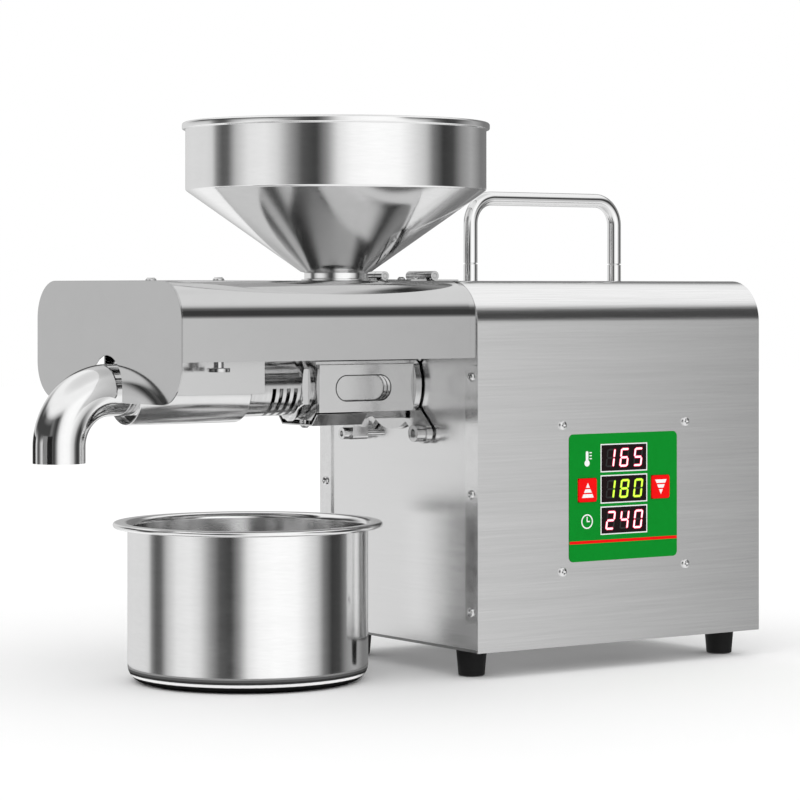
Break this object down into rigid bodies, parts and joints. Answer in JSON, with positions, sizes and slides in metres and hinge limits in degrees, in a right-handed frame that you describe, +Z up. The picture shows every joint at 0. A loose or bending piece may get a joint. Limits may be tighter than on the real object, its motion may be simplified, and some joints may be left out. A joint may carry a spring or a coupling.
{
  "type": "screw oil press",
  "caption": "Tabletop screw oil press: hopper, slotted barrel under a hinged cover, elbow spout, geared motor housing with display panel and handle, and an oil bowl.",
  "frame": {"origin": "on the table, under the centre of the overall box", "axes": "+X from the spout to the housing's rear along the press axis, +Y away from the control panel, +Z up"},
  "size_m": [0.5951, 0.2354, 0.4185],
  "materials": {
    "brushed_stainless": "fine lengthwise brushing",
    "polished_stainless": "mirror polished",
    "handle_chrome": "polished tube",
    "machined_steel": "turned and milled",
    "screw_steel": "bright zinc",
    "gear_steel": "ground",
    "cast_case": "as cast",
    "plain_sheet": "zinc plated",
    "foot_rubber": "matt",
    "panel_green": "printed film",
    "button_red": "printed film",
    "display_black": "clear dark lens",
    "board_green": "solder mask",
    "switch_black": "moulded"
  },
  "bodies": {
    "root": {"wrap_shell": "brushed_stainless", "front_plate": "brushed_stainless", "rear_plate": "brushed_stainless", "base_plate": "plain_sheet", "feet": "foot_rubber", "foot_screws": "screw_steel", "shell_screws": "screw_steel", "handle_bar": "handle_chrome", "handle_posts": "handle_chrome", "handle_nuts": "screw_steel", "cover_collar": "polished_stainless", "housing_hinges": "machined_steel", "hinge_pins": "machined_steel", "slotted_barrel": "machined_steel", "lock_nut": "machined_steel", "press_head": "machined_steel", "discharge_sleeve": "polished_stainless", "barrel_block": "machined_steel", "bracket_plates": "machined_steel", "mounting_flange": "machined_steel", "flange_screws": "screw_steel", "oil_tray": "polished_stainless", "cross_pin": "machined_steel", "block_screws": "screw_steel", "heaters_and_probe": "screw_steel", "feed_throat": "machined_steel", "gearbox_case": "cast_case", "gearbox_cover": "cast_case", "bearings": "gear_steel", "motor_can": "plain_sheet", "motor_end_bells": "cast_case", "motor_cradle": "plain_sheet", "panel_overlay": "panel_green", "display_windows": "display_black", "control_board": "board_green", "panel_screws": "screw_steel", "switch_bodies": "switch_black", "power_inlet": "switch_black"},
    "cover": {"barrel_cover": "polished_stainless", "cover_end_plate": "polished_stainless", "cover_screws": "screw_steel", "sleeve_nuts": "screw_steel", "heat_shield": "polished_stainless", "cover_hinges": "machined_steel", "hinge_screws": "screw_steel"},
    "hopper": {"hopper": "polished_stainless"},
    "spout": {"spout_elbow": "polished_stainless", "spout_ring": "polished_stainless"},
    "screw": {"press_screw": "machined_steel", "output_shaft": "gear_steel", "output_gear": "gear_steel"},
    "idler": {"idler_shaft": "gear_steel", "idler_gear": "gear_steel"},
    "motor": {"motor_rotor": "gear_steel", "motor_fan": "switch_black"},
    "up_key": {"up_button": "button_red"},
    "down_key": {"down_button": "button_red"},
    "power_key": {"power_rocker": "switch_black"},
    "direction_key": {"motor_rocker": "switch_black"},
    "bowl": {"bowl": "polished_stainless"}
  },
  "joints": [
    {"name": "cover_hinge", "type": "hinge", "parent": "root", "child": "cover", "pos_m": [0.0175, 0, 0.30195], "axis": [0, 1, 0], "range_deg": [0, 8]},
    {"name": "hopper_lift", "type": "slide", "parent": "cover", "child": "hopper", "axis": [0, 0, 1], "range_m": [0, 0.06]},
    {"name": "spout_swivel", "type": "hinge", "parent": "root", "child": "spout", "pos_m": [-0.2338, 0, 0.2185], "axis": [1, 0, 0], "range_deg": [-45, 45]},
    {"name": "motor_spin", "type": "hinge", "parent": "root", "child": "motor", "pos_m": [0.1162, 0, 0.1025], "axis": [1, 0, 0], "continuous": true},
    {"name": "idler_spin", "type": "hinge", "parent": "root", "child": "idler", "pos_m": [0.0562, 0, 0.1585], "axis": [1, 0, 0], "continuous": true},
    {"name": "screw_spin", "type": "hinge", "parent": "root", "child": "screw", "pos_m": [-0.0338, 0, 0.2185], "axis": [1, 0, 0], "continuous": true},
    {"name": "up_press", "type": "slide", "parent": "root", "child": "up_key", "axis": [0, 1, 0], "range_m": [0, 0.0008], "stiffness_N_per_m": 1500},
    {"name": "down_press", "type": "slide", "parent": "root", "child": "down_key", "axis": [0, 1, 0], "range_m": [0, 0.0008], "stiffness_N_per_m": 1500},
    {"name": "power_tilt", "type": "hinge", "parent": "root", "child": "power_key", "pos_m": [0.2907, -0.062, 0.062], "axis": [0, 1, 0], "range_deg": [-20, 0]},
    {"name": "direction_tilt", "type": "hinge", "parent": "root", "child": "direction_key", "pos_m": [0.2907, -0.028, 0.062], "axis": [0, 1, 0], "range_deg": [-10, 10]},
    {"name": "bowl_slide", "type": "slide", "parent": "root", "child": "bowl", "axis": [0, -1, 0], "range_m": [0, 0.25]}
  ],
  "couplings": [
    {"joint": "idler_spin", "follows": "motor_spin", "ratio": -0.33333},
    {"joint": "screw_spin", "follows": "motor_spin", "ratio": 0.10145}
  ]
}
